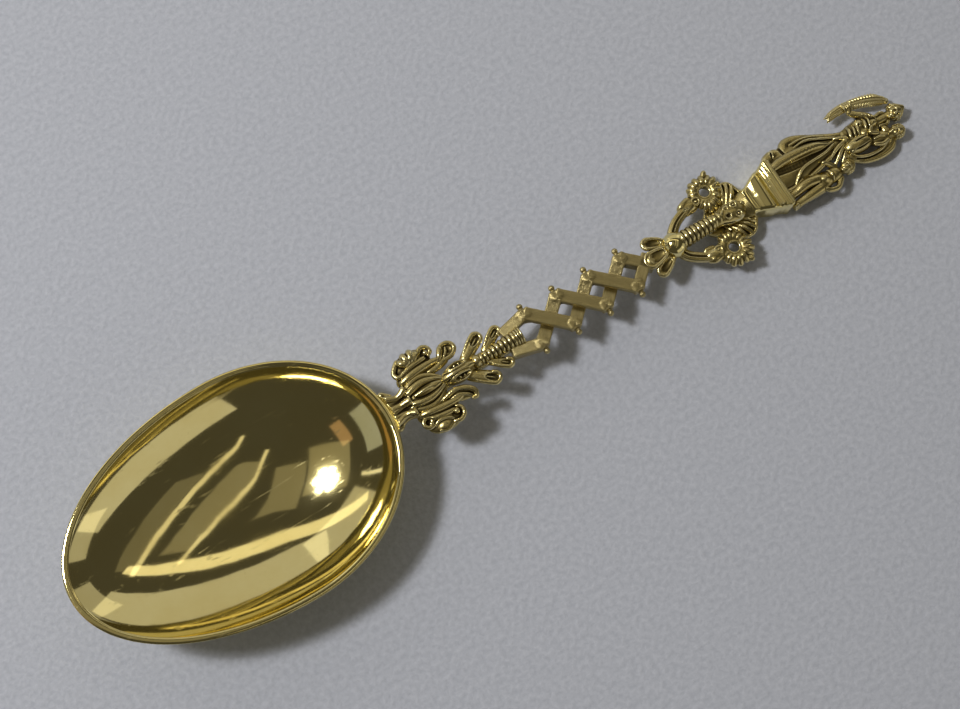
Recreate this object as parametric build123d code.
"""Gilt souvenir spoon: a raised egg-shaped bowl on a stem of soldered castings.

The spoon frame has x along the stem from the bowl's tip, y across it and z up from the
lattice's mid-plane. Everything is modelled there, and laid down on its rest plane at the end.
"""

import math
import os

from build123d import *

# ---- driving dimensions, in millimetres -------------------------------------------------
# bowl
BOWL_LENGTH = 72.8
BOWL_WIDTH = 49.8
BOWL_WIDEST = 42.6        # distance of the widest section from the tip
BOWL_DEPTH = 13.0
BOWL_WALL = 1.1
RIM_Z = 1.0               # the rim plane, above the stem's mid-plane
RIM_LEAN = 0.35           # how far below its equator the egg is cut: 0 is a vertical wall

# neck and leaf cushion
NECK_LENGTH = 4.8
NECK_WAIST = 4.9
NECK_THICK = 4.0
FLUTE_RADIUS = 0.45
CUSHION_LENGTH = 7.6
CUSHION_WIDTH = 6.4
PEG_RADIUS = 0.8          # locating pegs between castings
PEG_LENGTH = 2.0
PEG_CLEARANCE = 0.03

# pod, horn and the strap that carries them
STRAP_WIDTH = 3.2
STRAP_THICK = 1.6
STRAP_TOP = -0.2
POD_LENGTH = 7.4
POD_WIDTH = 4.2
POD_HEIGHT = 2.9
POD_HOLLOW_RADIUS = 0.75
HORN_LENGTH = 10.0
HORN_THIN = 1.05          # radius beside the collar
HORN_WIDE = 1.95          # radius at the mouth
HORN_RIBS = 9
COLLAR_RADIUS = 1.5
COLLAR_LENGTH = 1.5

# lattice
LATTICE_PITCH = 7.8
LATTICE_CORNERS = 4       # corners along each side
LATTICE_HALF_WIDTH = 3.3  # bar centre line at the corners
BAR_WIDTH = 2.2
BAR_THICK = 1.5
CORNER_RADIUS = 1.25
STUD_RADIUS = 0.62
STUD_NECK_RADIUS = 0.38
STUD_NECK_LENGTH = 0.45

# flower, bud and beast
PETAL_LENGTH = 7.0
PETAL_WIDTH = 2.9
PETAL_SPREAD = 27.0       # degrees between neighbouring petals
PETAL_WALL = 0.55
BUD_RADIUS = 2.25
NECK_RIB_RADIUS = 1.3
NECK_RIBS = 8
BEAST_NECK_LENGTH = 7.4
BEAST_HEAD_LENGTH = 8.2
BEAST_HEAD_WIDTH = 4.2
BEAST_Z = 0.8
KNOB_RADIUS = 0.6

# serpents
STALK_RADIUS = 0.8
SERPENT_OFFSET = 5.6      # of each head, from the stem's axis
CURL_OFFSET = 6.8         # of each curl's centre
CURL_RADIUS = 1.95
CURL_TUBE = 1.2
CURL_AHEAD = 2.1          # of each curl's centre, from the start of the beast's head
KNOB_ANGLE = 62.0         # degrees, of the knob outside each curl

# shell plate and plinth
SHELL_WIDTH = 12.4
SHELL_THICK = 1.3
SHELL_TOP = -0.9
PLINTH_LENGTH = 6.4
PLINTH_FOOT_WIDTH = 6.4
PLINTH_HEAD_WIDTH = 10.8
PLINTH_FOOT_Z = 1.9
PLINTH_HEAD_Z = 3.1
CAP_LENGTH = 1.7
CAP_OVERHANG = 0.45

# finial group
BACK_Z = -3.0             # the flat back, below the stem's mid-plane at the plinth cap
WOMAN_HEIGHT = 32.3
ROBE_SHARE = 0.49         # of the woman's height
ROBE_HEM_WIDTH = 9.4
ROBE_OFFSET = 2.2         # the robe swings out over the plinth, to +y
WAIST_WIDTH = 4.4
WAIST_OFFSET = 0.7
SHOULDER_WIDTH = 6.2
BODY_DEPTH = 4.6
HEAD_RADIUS = 1.95
PALM_WIDTH = 2.3
PALM_THICK = 1.3
CHILD_HEIGHT = 15.6
CHILD_OFFSET = -5.1
CHILD_HEAD_RADIUS = 1.45
INFANT_HEAD_RADIUS = 1.6

CLEAR = 80.0              # side of a cutting block, longer than any piece that it trims

# ---- stations along the stem, worked out from the sizes above ---------------------------
NECK_START = BOWL_LENGTH - BOWL_WALL
CUSHION_START = BOWL_LENGTH + NECK_LENGTH
CUSHION_END = CUSHION_START + CUSHION_LENGTH
POD_END = CUSHION_END + POD_LENGTH
HORN_START = POD_END + COLLAR_LENGTH
HORN_END = HORN_START + HORN_LENGTH
CORNER_START = HORN_END + LATTICE_PITCH * 0.36
CORNERS = [CORNER_START + LATTICE_PITCH * k for k in range(LATTICE_CORNERS)]
LATTICE_END = CORNERS[-1] + LATTICE_PITCH * 0.56
BUD_X = CORNERS[-1] + PETAL_LENGTH + LATTICE_PITCH * 0.31 + BUD_RADIUS * 0.8
BEAST_START = BUD_X + BUD_RADIUS * 0.8
BEAST_HEAD_START = BEAST_START + BEAST_NECK_LENGTH
SHELL_START = BEAST_HEAD_START - 1.4
SHELL_END = BEAST_HEAD_START + BEAST_HEAD_LENGTH + 1.0
PLINTH_START = SHELL_END
CAP_START = PLINTH_START + PLINTH_LENGTH
FIGURE_START = CAP_START + CAP_LENGTH
FIGURE_END = FIGURE_START + WOMAN_HEIGHT


# ---- rest plane -------------------------------------------------------------------------
def egg_semi_axes(inset=0.0):
    """Semi-axes of the egg whose cut at the rim plane is the bowl's outline: tip, heel, side, down."""
    grow = 1 / math.sqrt(1 - RIM_LEAN**2)
    down = BOWL_DEPTH / (1 - RIM_LEAN)
    tip, heel = BOWL_WIDEST * grow, (BOWL_LENGTH - BOWL_WIDEST) * grow
    return [v - inset for v in (tip, heel, BOWL_WIDTH / 2 * grow, down)]


def rest_tilt():
    """Angle, in radians, that brings the bowl's underside and the finial's back onto one plane."""
    _, heel, _, down = egg_semi_axes()
    centre_z = RIM_Z + RIM_LEAN * down
    low, high = 0.0, 0.5
    for _ in range(50):
        tilt = (low + high) / 2
        bowl = -BOWL_WIDEST * math.sin(tilt) + centre_z * math.cos(tilt)
        bowl -= math.hypot(heel * math.sin(tilt), down * math.cos(tilt))
        finial = -CAP_START * math.sin(tilt) + BACK_Z * math.cos(tilt)
        low, high = (tilt, high) if finial > bowl else (low, tilt)
    return tilt


TILT = rest_tilt()


def back_z(x):
    """Height of the rest plane at x, in the spoon frame."""
    return BACK_Z + (x - CAP_START) * math.tan(TILT)


# ---- shape helpers ----------------------------------------------------------------------
def spheroid(centre, half_length, radius, turn=0.0):
    """An ellipse turned about its long axis, which lies at `turn` degrees from x."""
    arc = EllipticalCenterArc((0, 0), half_length, radius, start_angle=0, arc_size=180)
    half = make_face([arc, Line((-half_length, 0), (half_length, 0))])
    return Pos(*centre) * Rot(0, 0, turn) * revolve(half, Axis.X)


def capsule(start, end, start_radius, end_radius):
    """A rounded limb between two points: two balls and the cone tangent to both, in one revolve."""
    foot, head = Vector(*start), Vector(*end)
    along = head - foot
    length = along.length
    lean = math.asin((start_radius - end_radius) / length)

    def on_ball(radius, centre, angle):
        return (radius * math.cos(angle), centre + radius * math.sin(angle))

    quarter = math.pi / 2
    outline = make_face([
        ThreePointArc(on_ball(start_radius, 0, -quarter), on_ball(start_radius, 0, (lean - quarter) / 2),
                      on_ball(start_radius, 0, lean)),
        Line(on_ball(start_radius, 0, lean), on_ball(end_radius, length, lean)),
        ThreePointArc(on_ball(end_radius, length, lean), on_ball(end_radius, length, (lean + quarter) / 2),
                      on_ball(end_radius, length, quarter)),
        Line(on_ball(end_radius, length, quarter), on_ball(start_radius, 0, -quarter)),
    ])
    return Plane(origin=foot, z_dir=along) * revolve(Plane.XZ * outline, Axis.Z)


def fuse(shapes):
    total = shapes[0]
    for shape in shapes[1:]:
        total = total + shape
    return total


def seat(piece, *others):
    """The piece with its neighbours' space cut away, so that it meets them face to face."""
    for other in others:
        piece = piece - other
    return piece


def mirrored(shape):
    return shape.mirror(Plane.XZ)


def along_x(x, z=0.0, y=0.0):
    """A plane across the stem at x, facing the finial."""
    return Plane(origin=(x, y, z), x_dir=(0, 1, 0), z_dir=(1, 0, 0))


def above_rest_plane():
    """A block with its flat underside on the rest plane, as long as the finial."""
    reach = FIGURE_END - PLINTH_START + 20
    plane = Plane(origin=(CAP_START, 0, BACK_Z), x_dir=(math.cos(TILT), 0, math.sin(TILT)),
                  z_dir=(-math.sin(TILT), 0, math.cos(TILT)))
    return plane * Box(2 * reach, CLEAR, CLEAR, align=(Align.CENTER, Align.CENTER, Align.MIN))


# ---- bowl -------------------------------------------------------------------------------
def egg(inset=0.0):
    """The egg below the rim plane: two half ellipsoids that share their widest section."""
    tip, heel, side, down = egg_semi_axes(inset)
    centre_z = RIM_Z + RIM_LEAN * egg_semi_axes()[3]
    ball = Rot(0, -90, 0) * Sphere(1.0)
    reach = 2 * (tip + heel)
    halves = []
    for semi, sign in ((tip, Align.MAX), (heel, Align.MIN)):
        whole = Pos(BOWL_WIDEST, 0, centre_z) * scale(ball, by=(semi, side, down))
        keep = Pos(BOWL_WIDEST, 0, RIM_Z) * Box(reach, reach, reach, align=(sign, Align.CENTER, Align.MAX))
        halves.append(whole & keep)
    return halves[0] + halves[1]


def make_bowl():
    return egg() - egg(BOWL_WALL)


# ---- neck, cushion and volutes ----------------------------------------------------------
def peg(x, z=0.0, clearance=0.0):
    return along_x(x, z) * Cylinder(PEG_RADIUS + clearance, PEG_LENGTH + clearance,
                                    align=(Align.CENTER, Align.CENTER, Align.MIN))


def make_neck():
    """Fluted bracket: wide where it clasps the bowl, waisted, with a peg for the cushion."""
    wide, waist, end = NECK_WAIST * 0.86, NECK_WAIST / 2, NECK_WAIST * 0.6
    middle = (NECK_START + CUSHION_START) / 2 + 0.6
    near = NECK_START - 2.0
    outline = make_face([
        Line((near, -wide), (near, wide)),
        Line((near, wide), (NECK_START + 0.6, wide)),
        ThreePointArc((NECK_START + 0.6, wide), (middle, waist), (CUSHION_START, end)),
        Line((CUSHION_START, end), (CUSHION_START, -end)),
        ThreePointArc((CUSHION_START, -end), (middle, -waist), (NECK_START + 0.6, -wide)),
        Line((NECK_START + 0.6, -wide), (near, -wide)),
    ])
    top = RIM_Z + 0.8
    block = Pos(0, 0, top - NECK_THICK) * extrude(outline, NECK_THICK)
    for side in (-1, 1):
        flute = along_x(near, top + 0.15, side * NECK_WAIST * 0.18)
        block -= flute * Cylinder(FLUTE_RADIUS, CLEAR, align=(Align.CENTER, Align.CENTER, Align.MIN))
    over_bowl = Box(2 * (BOWL_LENGTH - BOWL_WIDEST) - BOWL_WALL, CLEAR, CLEAR,
                    align=(Align.CENTER, Align.CENTER, Align.MIN))
    return block - egg() - Pos(BOWL_WIDEST, 0, RIM_Z) * over_bowl + peg(CUSHION_START)


def make_cushion():
    centre = (CUSHION_START + CUSHION_LENGTH / 2 - 0.3, 0, 0)
    bulb = spheroid(centre, CUSHION_LENGTH * 0.62, CUSHION_WIDTH / 2)
    ends = Pos(CUSHION_START, 0, 0) * Box(CUSHION_LENGTH, CLEAR, CLEAR,
                                          align=(Align.MIN, Align.CENTER, Align.CENTER))
    return (bulb & ends) - peg(CUSHION_START, clearance=PEG_CLEARANCE)


def make_volute(cushion):
    """One scrolled leaf beside the cushion, on the +y side."""
    side = CUSHION_WIDTH / 2
    x = CUSHION_START
    leaf = spheroid((x + 4.0, side + 0.9, -0.3), 4.3, 1.6)
    lobe = spheroid((x + 4.4, side + 3.4, 0.0), 2.9, 1.8)
    eye = Pos(x + 1.5, side + 2.2, 0.2) * Cylinder(1.75, 2.4)
    eye -= Pos(x + 1.5, side + 2.2, 1.9) * Sphere(1.1)
    curl = Pos(x + 7.5, side + 3.7, 0.2) * Sphere(1.45)
    scroll = fuse([leaf, lobe, eye, curl])
    ahead = Pos(x + 0.05, 0, 0) * Box(CLEAR, CLEAR, CLEAR, align=(Align.MIN, Align.CENTER, Align.CENTER))
    return seat(scroll & ahead, cushion)


# ---- strap, pod, horn and side leaves ----------------------------------------------------
def make_strap(cushion):
    """The backing strap that runs from the cushion to the lattice under the pod and horn."""
    length = HORN_END - 1.8 - (CUSHION_END - 2.0)
    strap = Pos(CUSHION_END - 2.0, 0, STRAP_TOP) * Box(length, STRAP_WIDTH, STRAP_THICK,
                                                       align=(Align.MIN, Align.CENTER, Align.MAX))
    return seat(strap, cushion)


def make_pod(cushion):
    """A long boss with a round hollow on each side of its ridge, flat behind."""
    middle = (CUSHION_END + POD_END) / 2 - 0.1
    top = STRAP_TOP + POD_HEIGHT
    pod = spheroid((middle, 0, top - POD_WIDTH / 2), POD_LENGTH / 2 + 0.3, POD_WIDTH / 2)
    for side in (-1, 1):
        pod -= Pos(middle + 0.8, side * POD_WIDTH * 0.24, top + 0.15) * Sphere(POD_HOLLOW_RADIUS)
    room = Pos(POD_END, 0, STRAP_TOP) * Box(CLEAR, CLEAR, CLEAR, align=(Align.MAX, Align.CENTER, Align.MIN))
    return seat(pod & room, cushion)


def ribbed_profile(start, length, ribs, first_radius, last_radius, depth):
    """Half-outline of a round ribbed bar, as arcs that bulge outwards between the rib roots."""
    step = length / ribs
    lines = []
    for k in range(ribs):
        a, b = k / ribs, (k + 1) / ribs
        root_a = first_radius + (last_radius - first_radius) * a - depth
        root_b = first_radius + (last_radius - first_radius) * b - depth
        crest = (root_a + root_b) / 2 + depth
        x = start + k * step
        lines.append(ThreePointArc((x, root_a), (x + step / 2, crest), (x + step, root_b)))
    lines.append(Line((start + length, last_radius - depth), (start + length, 0)))
    lines.append(Line((start + length, 0), (start, 0)))
    lines.append(Line((start, 0), (start, first_radius - depth)))
    return make_face(lines)


def make_horn(strap):
    """A ribbed horn that widens to its mouth, with a collar beside the pod."""
    axis_z = STRAP_TOP + HORN_THIN * 0.75
    horn = revolve(ribbed_profile(HORN_START, HORN_LENGTH, HORN_RIBS, HORN_THIN, HORN_WIDE, 0.18), Axis.X)
    collar = along_x(POD_END) * Cylinder(COLLAR_RADIUS, COLLAR_LENGTH,
                                         align=(Align.CENTER, Align.CENTER, Align.MIN))
    return seat(Pos(0, 0, axis_z) * (horn + collar), strap)


def make_leaf(root_x, reach, out, length, width, strap):
    """A side leaf on the +y side: a lobe with a hollow face, growing from the strap's edge."""
    angle = math.degrees(math.atan2(out, reach))
    tip = (root_x + reach, STRAP_WIDTH / 2 + out)
    middle = (root_x + reach / 2, STRAP_WIDTH / 2 + out / 2 - 0.3)
    lobe = spheroid((*middle, STRAP_TOP - 0.3), length / 2, width / 2, angle)
    lobe = lobe & Pos(*middle, STRAP_TOP - STRAP_THICK) * Box(CLEAR, CLEAR, CLEAR,
                                                              align=(Align.CENTER, Align.CENTER, Align.MIN))
    hollow = spheroid((tip[0] - reach * 0.28, tip[1] - out * 0.28, STRAP_TOP + width * 0.45), length * 0.3,
                      width * 0.3, angle)
    return seat(lobe - hollow, strap)


# ---- lattice ----------------------------------------------------------------------------
def bar(start, end, low, high):
    """A flat bar between two points, from z low to z high."""
    a, b = Vector(*start), Vector(*end)
    run = b - a
    angle = math.degrees(math.atan2(run.Y, run.X))
    middle = (a + b) / 2
    return Pos(middle.X, middle.Y, low) * Rot(0, 0, angle) * Box(
        run.length, BAR_WIDTH, high - low, align=(Align.CENTER, Align.CENTER, Align.MIN))


def make_lattice_strip(first_side):
    """A zigzag from corner to corner. Bars that fall towards -y pass over, the others under."""
    y = LATTICE_HALF_WIDTH
    start = (HORN_END - 3.4, first_side * (STRAP_WIDTH / 2 + BAR_WIDTH * 0.25))
    end_side = first_side if LATTICE_CORNERS % 2 else -first_side
    end = (LATTICE_END, end_side * BAR_WIDTH * 0.54)
    corners = [(x, first_side * y * (-1) ** k) for k, x in enumerate(CORNERS)]
    points = [start, *corners, end]
    pieces = []
    for k, (a, b) in enumerate(zip(points, points[1:])):
        crossing = 0 < k < len(points) - 2
        over = not crossing or b[1] < a[1]
        under = not crossing or b[1] > a[1]
        pieces.append(bar(a, b, -BAR_THICK if under else 0.0, BAR_THICK if over else 0.0))
    for corner in corners:
        pieces.append(Pos(*corner) * Cylinder(CORNER_RADIUS, 2 * BAR_THICK))
    return fuse(pieces)


def make_studs(strips):
    """A ball on a short neck outside every corner."""
    studs = []
    out = LATTICE_HALF_WIDTH + CORNER_RADIUS
    for x in CORNERS:
        for side in (-1, 1):
            neck = Pos(x, side * (out + STUD_NECK_LENGTH / 2), 0.3) * (
                Rot(90, 0, 0) * Cylinder(STUD_NECK_RADIUS, STUD_NECK_LENGTH + 0.5))
            ball = Pos(x, side * (out + STUD_NECK_LENGTH + STUD_RADIUS * 0.8), 0.3) * Sphere(STUD_RADIUS)
            studs.append(seat(neck + ball, *strips))
    return studs


# ---- flower, bud, beast -----------------------------------------------------------------
def make_flower(strips):
    """Three hollow petals that spread from the bud over the lattice's end."""
    petals = []
    for k in (-1, 1, 0):
        length = PETAL_LENGTH if k == 0 else PETAL_LENGTH * 0.88
        z = 0.9 if k == 0 else 0.35
        petal = spheroid((0, 0, 0), length / 2, PETAL_WIDTH / 2)
        hollow_width = PETAL_WIDTH - 2 * PETAL_WALL
        hollow = spheroid((-length * 0.08, 0, PETAL_WIDTH * 0.42), length * 0.3, hollow_width / 2)
        petals.append(Pos(BUD_X - BUD_RADIUS * 0.6, 0, z) * Rot(0, 0, -k * PETAL_SPREAD)
                      * Pos(-length / 2, 0, 0) * (petal - hollow))
    core = along_x(LATTICE_END - 1.6) * Cylinder(PETAL_WIDTH / 2, BUD_X - LATTICE_END,
                                                 align=(Align.CENTER, Align.CENTER, Align.MIN))
    return seat(fuse([core, *petals]), *strips)


def make_bud(flower):
    return seat(Pos(BUD_X, 0, 0.4) * Sphere(BUD_RADIUS), flower)


def make_beast(bud):
    """A ribbed neck and a long flat head with four knobs."""
    neck = revolve(ribbed_profile(BEAST_START - 0.8, BEAST_NECK_LENGTH + 0.8, NECK_RIBS, NECK_RIB_RADIUS,
                                  NECK_RIB_RADIUS, 0.2), Axis.X)
    middle = BEAST_HEAD_START + BEAST_HEAD_LENGTH / 2
    head = spheroid((middle - 0.4, 0, 0), BEAST_HEAD_LENGTH / 2 + 0.3, BEAST_HEAD_WIDTH / 2)
    for x, out in ((-0.2, 1.0), (2.2, 0.8)):
        for side in (-1, 1):
            head += Pos(middle + x, side * out, BEAST_HEAD_WIDTH / 2 - 0.4) * Sphere(KNOB_RADIUS)
    return seat(Pos(0, 0, BEAST_Z) * (neck + head), bud)


# ---- serpents, on the +y side -----------------------------------------------------------
def curl_centre():
    return (BEAST_HEAD_START + CURL_AHEAD, CURL_OFFSET)


def serpent_head_centre():
    x, _ = curl_centre()
    return (x - CURL_RADIUS - CURL_TUBE - 0.2, SERPENT_OFFSET)


def make_stalk(bud):
    """An arched stalk from the bud to the serpent's mouth."""
    head_x, head_y = serpent_head_centre()
    start = (BUD_X - 0.3, BUD_RADIUS - 0.3)
    end = (head_x - 0.6, head_y + 0.3)
    middle = (start[0] * 0.62 + end[0] * 0.38, start[1] * 0.25 + end[1] * 0.75)
    path = ThreePointArc(start, middle, end)
    section = Plane(origin=(*start, 0), z_dir=(path % 0)) * Circle(STALK_RADIUS)
    return seat(sweep(section, path), bud)


def make_serpent(stalk):
    """A beaked head with an eye, and the ring of its curled body with a knob outside it."""
    head_x, head_y = serpent_head_centre()
    head = spheroid((head_x, head_y, 0), 2.4, 1.5)
    eye = Pos(head_x + 0.7, head_y + 0.5, 1.2) * Sphere(0.55)
    cx, cy = curl_centre()
    ring = Pos(cx, cy, 0) * Torus(CURL_RADIUS, CURL_TUBE)
    outward = Vector(1, 0, 0).rotate(Axis.Z, KNOB_ANGLE)
    root = Vector(cx, cy, 0) + outward * CURL_RADIUS
    tip = root + outward * (CURL_TUBE + KNOB_RADIUS)
    knob = capsule(tuple(root), tuple(tip), KNOB_RADIUS * 0.8, KNOB_RADIUS)
    return seat(fuse([head, eye, ring, knob]), stalk)


# ---- shell plate and plinth --------------------------------------------------------------
def make_shell(beast, serpents):
    """The scalloped plate behind the beast's head, which carries the serpents."""
    half = SHELL_WIDTH / 2
    foot = PLINTH_FOOT_WIDTH / 2
    near, far = SHELL_START, SHELL_END
    shoulder = (near + 0.62 * (far - near), half)
    edge = [
        Line((near, -1.2), (near, 1.2)),
        ThreePointArc((near, 1.2), (near + 3.4, half * 0.78), shoulder),
        ThreePointArc(shoulder, (far - 1.3, half * 0.86), (far, foot)),
        Line((far, foot), (far, -foot)),
        ThreePointArc((far, -foot), (far - 1.3, -half * 0.86), (shoulder[0], -half)),
        ThreePointArc((shoulder[0], -half), (near + 3.4, -half * 0.78), (near, -1.2)),
    ]
    plate = Pos(0, 0, SHELL_TOP - SHELL_THICK) * extrude(make_face(edge), SHELL_THICK)
    return seat(plate, beast, *serpents)


def make_plinth():
    """A flared bracket with a hollow-moulded front and a flat back on the rest plane."""
    reach = BACK_Z - 4.0
    front = make_face([
        Line((PLINTH_START, reach), (PLINTH_START, PLINTH_FOOT_Z)),
        ThreePointArc((PLINTH_START, PLINTH_FOOT_Z),
                      (PLINTH_START + PLINTH_LENGTH * 0.55, (PLINTH_FOOT_Z + PLINTH_HEAD_Z) / 2 - 0.35),
                      (CAP_START, PLINTH_HEAD_Z)),
        Line((CAP_START, PLINTH_HEAD_Z), (CAP_START, reach)),
        Line((CAP_START, reach), (PLINTH_START, reach)),
    ])
    side = Plane(origin=(0, PLINTH_HEAD_WIDTH, 0), x_dir=(1, 0, 0), z_dir=(0, -1, 0)) * front
    block = extrude(side, 2 * PLINTH_HEAD_WIDTH)
    foot, head = PLINTH_FOOT_WIDTH / 2, PLINTH_HEAD_WIDTH / 2
    plan = make_face([
        Line((PLINTH_START, -foot), (PLINTH_START, foot)),
        Line((PLINTH_START, foot), (CAP_START, head)),
        Line((CAP_START, head), (CAP_START, -head)),
        Line((CAP_START, -head), (PLINTH_START, -foot)),
    ])
    return block & Pos(0, 0, -CLEAR / 2) * extrude(plan, CLEAR) & above_rest_plane()


def make_cap():
    """The slab that the figures stand on, with a moulded edge."""
    width = PLINTH_HEAD_WIDTH + 2 * CAP_OVERHANG
    top = PLINTH_HEAD_Z + CAP_OVERHANG
    slab = Pos(CAP_START, 0, top) * Box(CAP_LENGTH, width, 12, align=(Align.MIN, Align.CENTER, Align.MAX))
    slab = slab & above_rest_plane()
    slab = fillet(slab.edges().filter_by(Axis.Y).group_by(Axis.Z)[-1], 0.35)
    return slab + peg(FIGURE_START, 0.6)


# ---- finial group -----------------------------------------------------------------------
def on_figure(share):
    """x at a share of the woman's height above the cap."""
    return FIGURE_START + WOMAN_HEIGHT * share


def section(x, y, z, width, depth):
    return along_x(x, z, y) * Ellipse(width / 2, depth / 2)


def make_woman():
    """Standing draped woman: robe, bodice, head and arms in one casting."""
    z = 0.6
    hem, knee, waist = on_figure(0), on_figure(ROBE_SHARE * 0.45), on_figure(ROBE_SHARE)
    robe = loft([
        section(hem, ROBE_OFFSET, z - 0.4, ROBE_HEM_WIDTH, BODY_DEPTH * 1.15),
        section(knee, ROBE_OFFSET, z - 0.3, ROBE_HEM_WIDTH * 0.95, BODY_DEPTH * 1.15),
        section(waist, WAIST_OFFSET, z, WAIST_WIDTH, BODY_DEPTH * 0.8),
    ])
    torso = loft([
        section(waist, WAIST_OFFSET, z, WAIST_WIDTH, BODY_DEPTH * 0.8),
        section(on_figure(0.66), 0.5, z + 0.2, SHOULDER_WIDTH * 0.9, BODY_DEPTH * 0.9),
        section(on_figure(0.79), 0.4, z + 0.1, SHOULDER_WIDTH * 0.82, BODY_DEPTH * 0.7),
    ])
    shoulders = spheroid((on_figure(0.785), 0.3, z), SHOULDER_WIDTH / 2, BODY_DEPTH * 0.34, 90)
    head_x = FIGURE_END - HEAD_RADIUS
    neck = capsule((on_figure(0.78), 0.3, z), (head_x, 0.35, z + 0.3), 1.05, 0.95)
    head = Pos(head_x, 0.35, z + 0.5) * Sphere(HEAD_RADIUS)
    shoulder_y = SHOULDER_WIDTH / 2
    raised_elbow = (on_figure(0.70), shoulder_y + 1.6, z + 0.2)
    raised = capsule((on_figure(0.77), shoulder_y - 0.6, z), raised_elbow, 1.15, 0.85)
    elbow = (on_figure(0.56), -shoulder_y - 0.9, z + 0.2)
    carrying = capsule((on_figure(0.75), -shoulder_y + 0.5, z), elbow, 1.1, 0.9)
    forearm = capsule(elbow, (on_figure(0.60), -0.6, z + 1.6), 0.9, 0.75)
    body = fuse([robe, torso, shoulders, neck, head, raised, carrying, forearm])
    body = body & above_rest_plane()
    return body - peg(FIGURE_START, 0.6, clearance=PEG_CLEARANCE)


def make_palm(woman):
    """A curved feathered branch, held beside the woman's head."""
    start = (on_figure(0.515), 6.6)
    middle = (on_figure(0.76), 6.4)
    end = (on_figure(0.95), 3.1)
    path = ThreePointArc(start, middle, end)
    across = Plane(origin=(*start, 0), x_dir=(0, 0, 1), z_dir=(path % 0))
    branch = Pos(0, 0, 1.0) * sweep(across * Ellipse(PALM_THICK / 2, PALM_WIDTH / 2), path)
    wrist, fingers = (on_figure(0.70), SHOULDER_WIDTH / 2 + 1.7, 0.9), (on_figure(0.71), 6.6, 1.0)
    hand = capsule(wrist, fingers, 0.8, 0.7)
    return seat(branch + hand, woman)


def make_infant(woman):
    """The infant on the woman's arm: a round head and a curled body."""
    z = 1.9
    head = Pos(on_figure(0.855), -3.3, z - 0.4) * Sphere(INFANT_HEAD_RADIUS)
    body = spheroid((on_figure(0.66), -2.2, z), 3.4, 1.65)
    neck = capsule((on_figure(0.855), -3.3, z - 0.4), (on_figure(0.73), -2.6, z), 0.9, 1.3)
    return seat(fuse([body, neck, head]), woman)


def make_child(woman):
    """The child who stands at the woman's side, looking up."""
    y, z = CHILD_OFFSET, 0.6
    foot, hip = FIGURE_START, FIGURE_START + CHILD_HEIGHT * 0.48
    chest = FIGURE_START + CHILD_HEIGHT * 0.66
    head_x = FIGURE_START + CHILD_HEIGHT - CHILD_HEAD_RADIUS
    legs = [capsule((foot, y + side * 1.1, z), (hip, y + side * 0.7, z + 0.4), 0.8, 1.1) for side in (-1, 1)]
    trunk = spheroid((chest, y, z + 0.3), 2.9, 1.8)
    neck = capsule((chest + 1.4, y, z + 0.3), (head_x, y + 0.1, z + 0.4), 1.0, 0.8)
    head = Pos(head_x, y + 0.1, z + 0.4) * Sphere(CHILD_HEAD_RADIUS)
    arm = capsule((chest + 1.0, y - 1.3, z + 0.3), (chest - 2.6, y - 1.9, z + 0.3), 0.75, 0.6)
    standing = Pos(FIGURE_START, 0, 0) * Box(CLEAR, CLEAR, CLEAR,
                                             align=(Align.MIN, Align.CENTER, Align.CENTER))
    return seat(fuse([*legs, trunk, neck, head, arm]) & standing & above_rest_plane(), woman)


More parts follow.
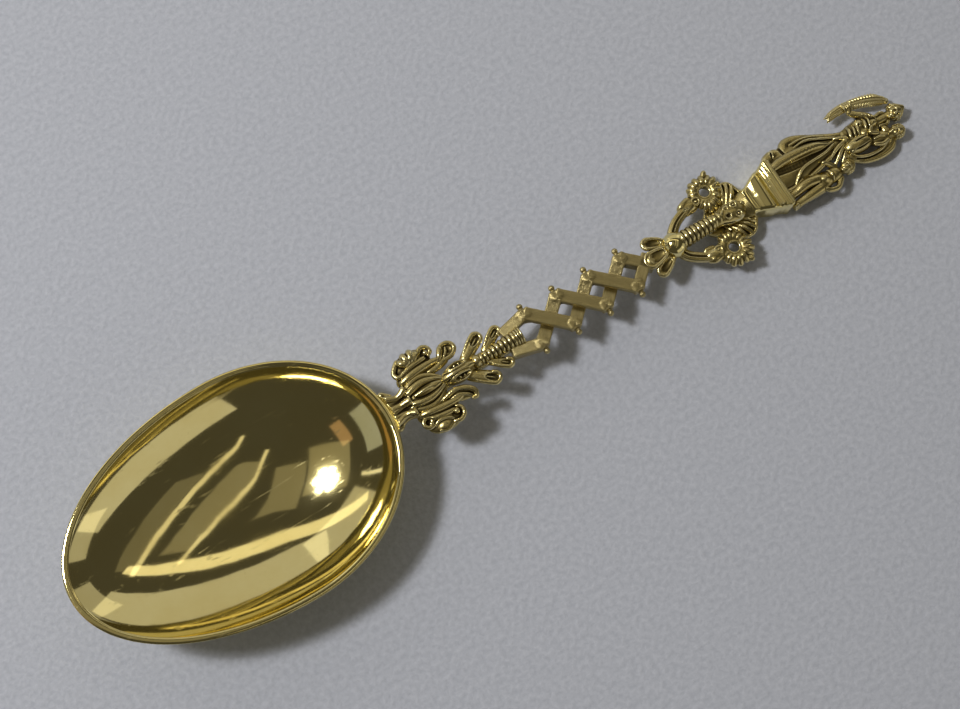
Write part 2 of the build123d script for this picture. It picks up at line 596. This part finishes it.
# ---- assembly ---------------------------------------------------------------------------
def make_parts():
    parts = {"bowl": make_bowl(), "neck_leaf": make_neck(), "leaf_cushion": make_cushion()}
    parts["strap"] = make_strap(parts["leaf_cushion"])
    left_volute = seat(make_volute(parts["leaf_cushion"]), parts["strap"])
    parts["left_volute"], parts["right_volute"] = left_volute, mirrored(left_volute)
    parts["pod_boss"] = make_pod(parts["leaf_cushion"])
    parts["ribbed_horn"] = make_horn(parts["strap"])

    # root station, reach along the stem, reach outwards, length and width of each leaf
    leaves = (
        (CUSHION_END + 0.6, 3.6, 3.4, 5.6, 3.2),
        (POD_END - 2.6, 5.0, 1.9, 6.0, 2.6),
        (HORN_START + 1.2, 4.8, 1.4, 5.4, 2.2),
    )
    for number, leaf in enumerate(leaves, 1):
        made = seat(make_leaf(*leaf, parts["strap"]), left_volute, parts["pod_boss"], parts["ribbed_horn"],
                    *(parts[f"left_leaf_{n}"] for n in range(1, number)))
        parts[f"left_leaf_{number}"], parts[f"right_leaf_{number}"] = made, mirrored(made)

    strips = []
    for name, side in (("lattice_strip_a", 1), ("lattice_strip_b", -1)):
        strip = seat(make_lattice_strip(side), parts["strap"], parts["ribbed_horn"],
                     parts["left_leaf_3"], parts["right_leaf_3"], *strips)
        strips.append(strip)
        parts[name] = strip
    studs = make_studs(strips)
    parts["lattice_studs"] = Compound(children=studs)
    parts["flower"] = make_flower(strips)
    parts["bud"] = make_bud(parts["flower"])
    parts["beast"] = make_beast(parts["bud"])
    stalk = seat(make_stalk(parts["bud"]), parts["flower"])
    serpent = seat(make_serpent(stalk), parts["beast"])
    parts["left_stalk"], parts["right_stalk"] = stalk, mirrored(stalk)
    parts["left_serpent"], parts["right_serpent"] = serpent, mirrored(serpent)
    parts["shell_plate"] = make_shell(parts["beast"], (serpent, mirrored(serpent)))
    parts["plinth"] = seat(make_plinth(), parts["beast"])
    parts["plinth_cap"] = make_cap()
    parts["woman"] = make_woman()
    parts["palm_branch"] = make_palm(parts["woman"])
    parts["infant"] = make_infant(parts["woman"])
    parts["child"] = make_child(parts["woman"])
    return parts


def laid_down(parts):
    """The parts turned onto the rest plane, with the origin under the middle of their box."""
    turned = {name: Rot(0, math.degrees(TILT), 0) * shape for name, shape in parts.items()}
    boxes = [shape.bounding_box() for shape in turned.values()]
    middle = (min(b.min.X for b in boxes) + max(b.max.X for b in boxes)) / 2
    floor = min(b.min.Z for b in boxes)
    return {name: Pos(-middle, 0, -floor) * shape for name, shape in turned.items()}


if __name__ == "__main__":
    os.makedirs("parts", exist_ok=True)
    for name, shape in laid_down(make_parts()).items():
        export_step(shape, f"parts/{name}.step")
